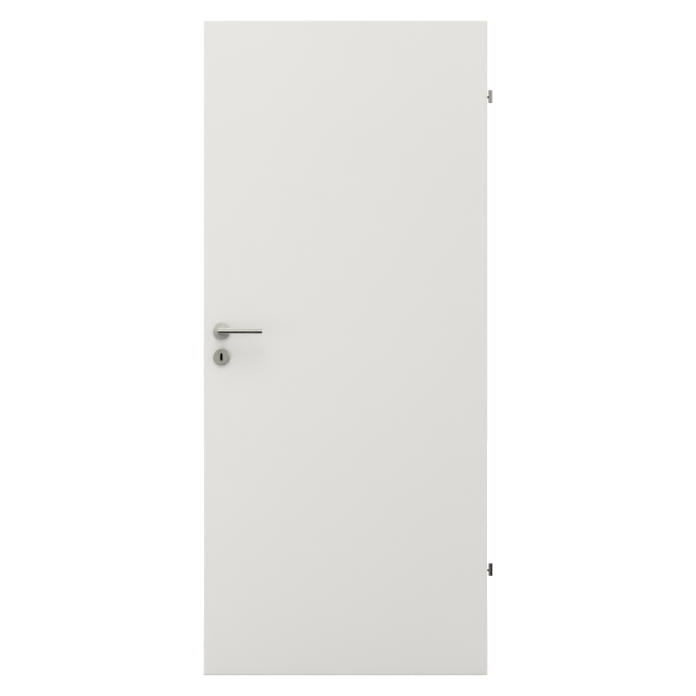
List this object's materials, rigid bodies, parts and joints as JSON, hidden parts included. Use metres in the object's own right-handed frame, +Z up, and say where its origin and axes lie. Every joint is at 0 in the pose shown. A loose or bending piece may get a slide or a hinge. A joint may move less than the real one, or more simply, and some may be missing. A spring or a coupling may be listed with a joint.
{
  "type": "interior door leaf",
  "caption": "Plain white rebated flush door leaf with lever handles, round key plates, a mortise lock and screw-in hinge halves.",
  "frame": {"origin": "on the hinge pins' axis, at the bottom face of the lower hinge barrel", "axes": "+X from the lock side to the hinge side, +Y from the front face through the leaf to the back, +Z up along the pins' axis"},
  "size_m": [0.8765, 0.1781, 1.985],
  "materials": {
    "white_laminate": "smooth warm white laminate, silk matt",
    "edge_laminate": "smooth warm white laminate folded round the rebate",
    "frame_timber": "raw planed softwood",
    "core_board": "raw particle board",
    "zinc_steel": "zinc-plated steel",
    "satin_forend": "lengthwise brushed steel",
    "satin_plates": "satin stainless steel, turned grain",
    "plate_bases": "moulded grey nylon",
    "satin_levers": "satin stainless steel, lengthwise grain",
    "plain_steel": "plain steel",
    "nickel_barrels": "satin nickel-plated steel",
    "dark_pegs": "dark browned steel"
  },
  "bodies": {
    "leaf": {"back_key_plate_base": "plate_bases", "back_key_plate_cover": "satin_plates", "back_rose_base": "plate_bases", "back_rose_cover": "satin_plates", "back_skin": "white_laminate", "bottom_rail": "frame_timber", "core_panel": "core_board", "dead_bolt": "zinc_steel", "front_key_plate_base": "plate_bases", "front_key_plate_cover": "satin_plates", "front_rose_base": "plate_bases", "front_rose_cover": "satin_plates", "front_skin": "white_laminate", "hinge_edge_band": "edge_laminate", "hinge_stile": "frame_timber", "latch_bolt": "zinc_steel", "lock_case": "zinc_steel", "lock_edge_band": "edge_laminate", "lock_forend": "satin_forend", "lock_stile": "frame_timber", "lower_hinge_barrel": "nickel_barrels", "lower_hinge_peg": "dark_pegs", "top_edge_band": "edge_laminate", "top_rail": "frame_timber", "upper_hinge_barrel": "nickel_barrels", "upper_hinge_peg": "dark_pegs"},
    "lever": {"front_lever": "satin_levers", "back_lever": "satin_levers", "spindle": "plain_steel", "grub_screw": "plain_steel", "lock_follower": "zinc_steel"}
  },
  "joints": [
    {"name": "lever_turn", "type": "hinge", "parent": "leaf", "child": "lever", "pos_m": [-0.8163, 0, 0.743], "axis": [0, 1, 0], "range_deg": [0, 40], "stiffness_Nm_per_rad": 2.5, "springref_deg": -20.05}
  ]
}
